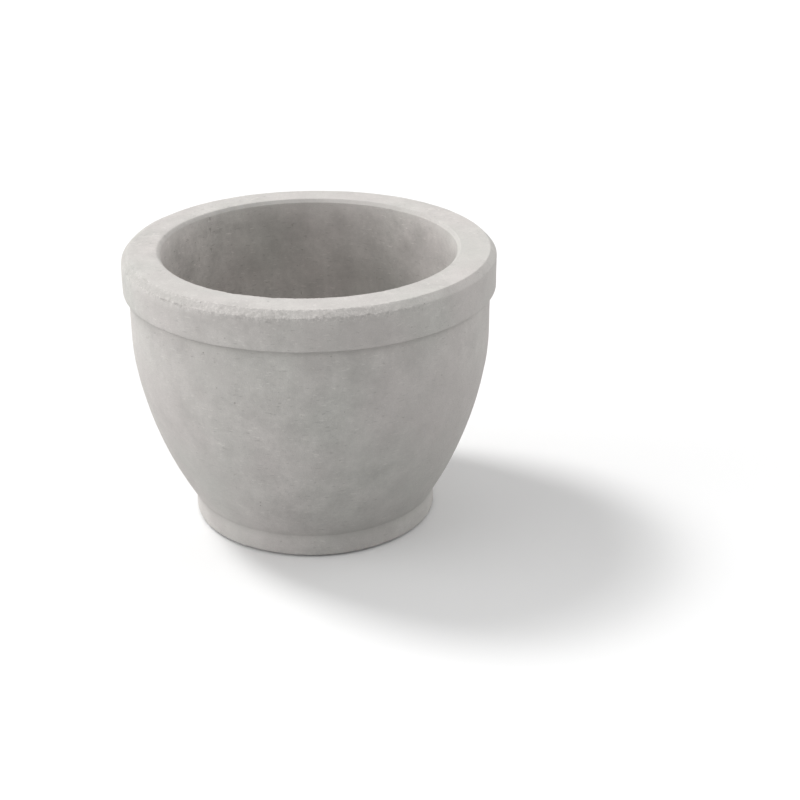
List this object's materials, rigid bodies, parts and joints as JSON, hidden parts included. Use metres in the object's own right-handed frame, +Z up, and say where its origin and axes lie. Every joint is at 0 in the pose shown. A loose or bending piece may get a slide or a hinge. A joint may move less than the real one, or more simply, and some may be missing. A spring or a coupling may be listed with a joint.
{
  "type": "concrete planter",
  "caption": "Round concrete floor planter with a thick rim band, a tapering belly and a low foot ring, a plugged drain and rubber pads; holds soil or a grow pot.",
  "frame": {"origin": "on the ground under the middle of the pot, in the plane of the pads' undersides", "axes": "+Z up along the pot's axis of revolution; +X through the first pad, so the pads lie on X and Y"},
  "size_m": [0.43, 0.43, 0.33],
  "materials": {
    "concrete": "matte",
    "sleeve_plastic": "satin",
    "plug_rubber": "matte",
    "pad_rubber": "matte",
    "steel_wire": "satin"
  },
  "bodies": {
    "pot": {"concrete_shell": "concrete", "drain_sleeve": "sleeve_plastic", "foot_pad_1": "pad_rubber", "foot_pad_2": "pad_rubber", "foot_pad_3": "pad_rubber", "foot_pad_4": "pad_rubber", "rim_hoop": "steel_wire", "neck_hoop": "steel_wire", "shoulder_hoop": "steel_wire", "belly_hoop": "steel_wire", "floor_ring": "steel_wire", "upright_wire_1": "steel_wire", "upright_wire_2": "steel_wire", "upright_wire_3": "steel_wire", "upright_wire_4": "steel_wire", "upright_wire_5": "steel_wire", "upright_wire_6": "steel_wire", "upright_wire_7": "steel_wire", "upright_wire_8": "steel_wire"},
    "plug": {"drain_plug": "plug_rubber"}
  },
  "joints": [
    {"name": "plug_pull", "type": "slide", "parent": "pot", "child": "plug", "axis": [0, 0, 1], "range_m": [0, 0.32]}
  ]
}
